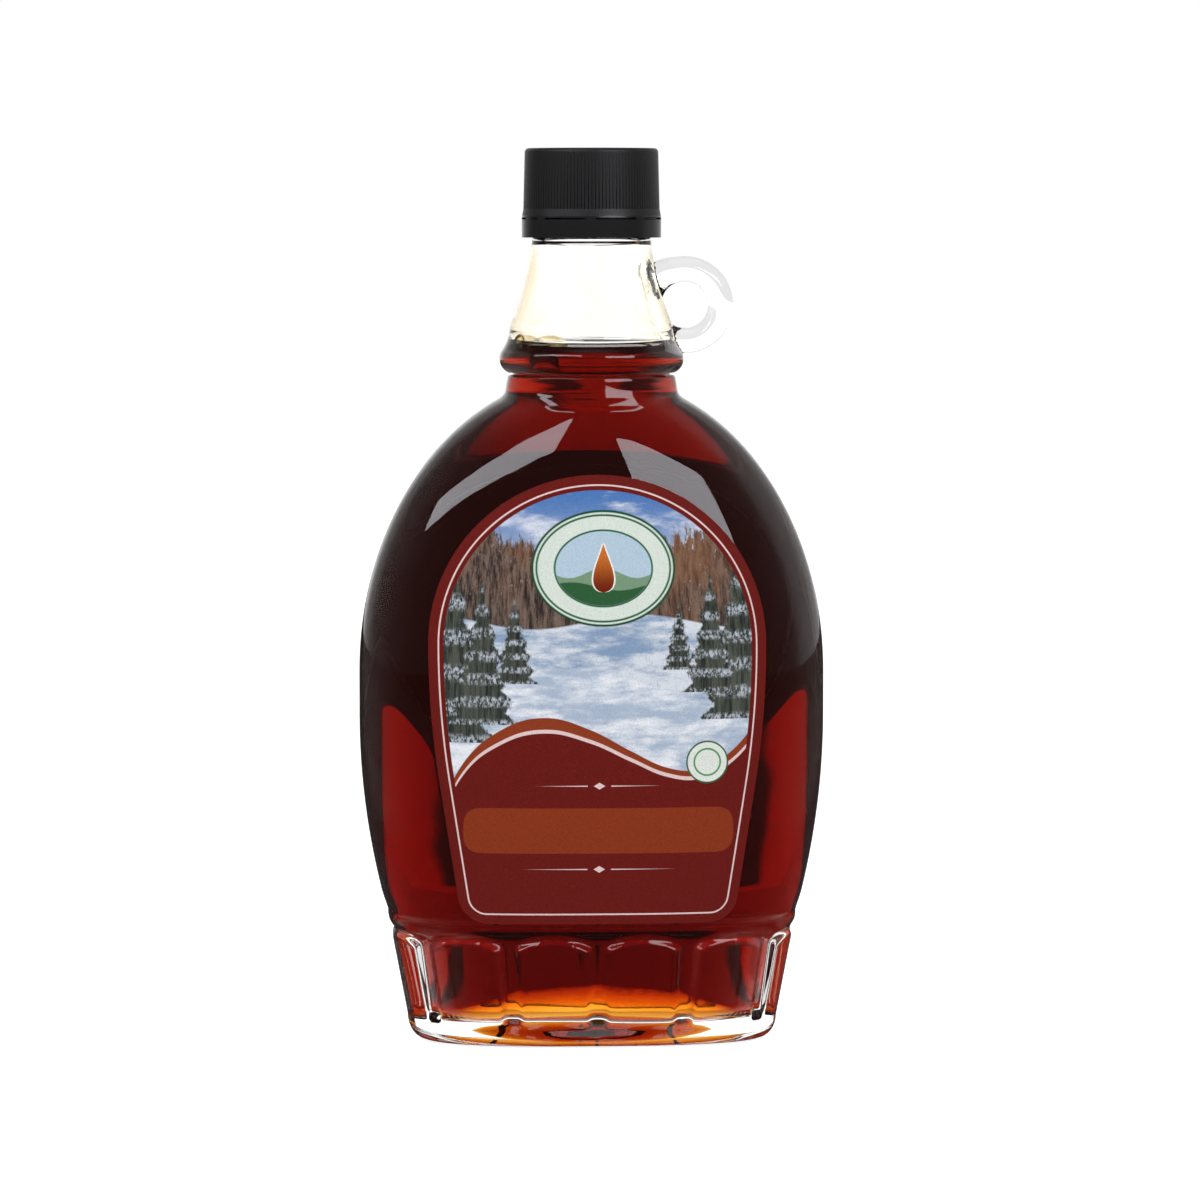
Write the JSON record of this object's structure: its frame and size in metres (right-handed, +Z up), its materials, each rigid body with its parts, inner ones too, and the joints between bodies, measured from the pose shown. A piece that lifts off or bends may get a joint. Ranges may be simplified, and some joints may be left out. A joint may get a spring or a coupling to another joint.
{
  "type": "syrup bottle",
  "caption": "Clear glass flask of dark tree syrup with a loop handle on its neck, a black screw cap with tamper band, and paper labels front and back",
  "frame": {"origin": "centre of the foot on the ground, under the axis of the neck", "axes": "+Z up along the neck's axis, -Y out of the front label, +X towards the loop handle"},
  "size_m": [0.1038, 0.0596, 0.1981],
  "materials": {
    "clear_glass": "clear smooth flint glass",
    "syrup": "clear dark red-brown syrup",
    "cap_plastic": "black moulded plastic, satin knurls and a glossier band",
    "front_paper": null,
    "back_paper": "bare brick-red coated paper"
  },
  "bodies": {
    "root": {"glass": "clear_glass", "syrup": "syrup", "cap": "cap_plastic", "front_label": "front_paper", "back_label": "back_paper"}
  },
  "joints": []
}
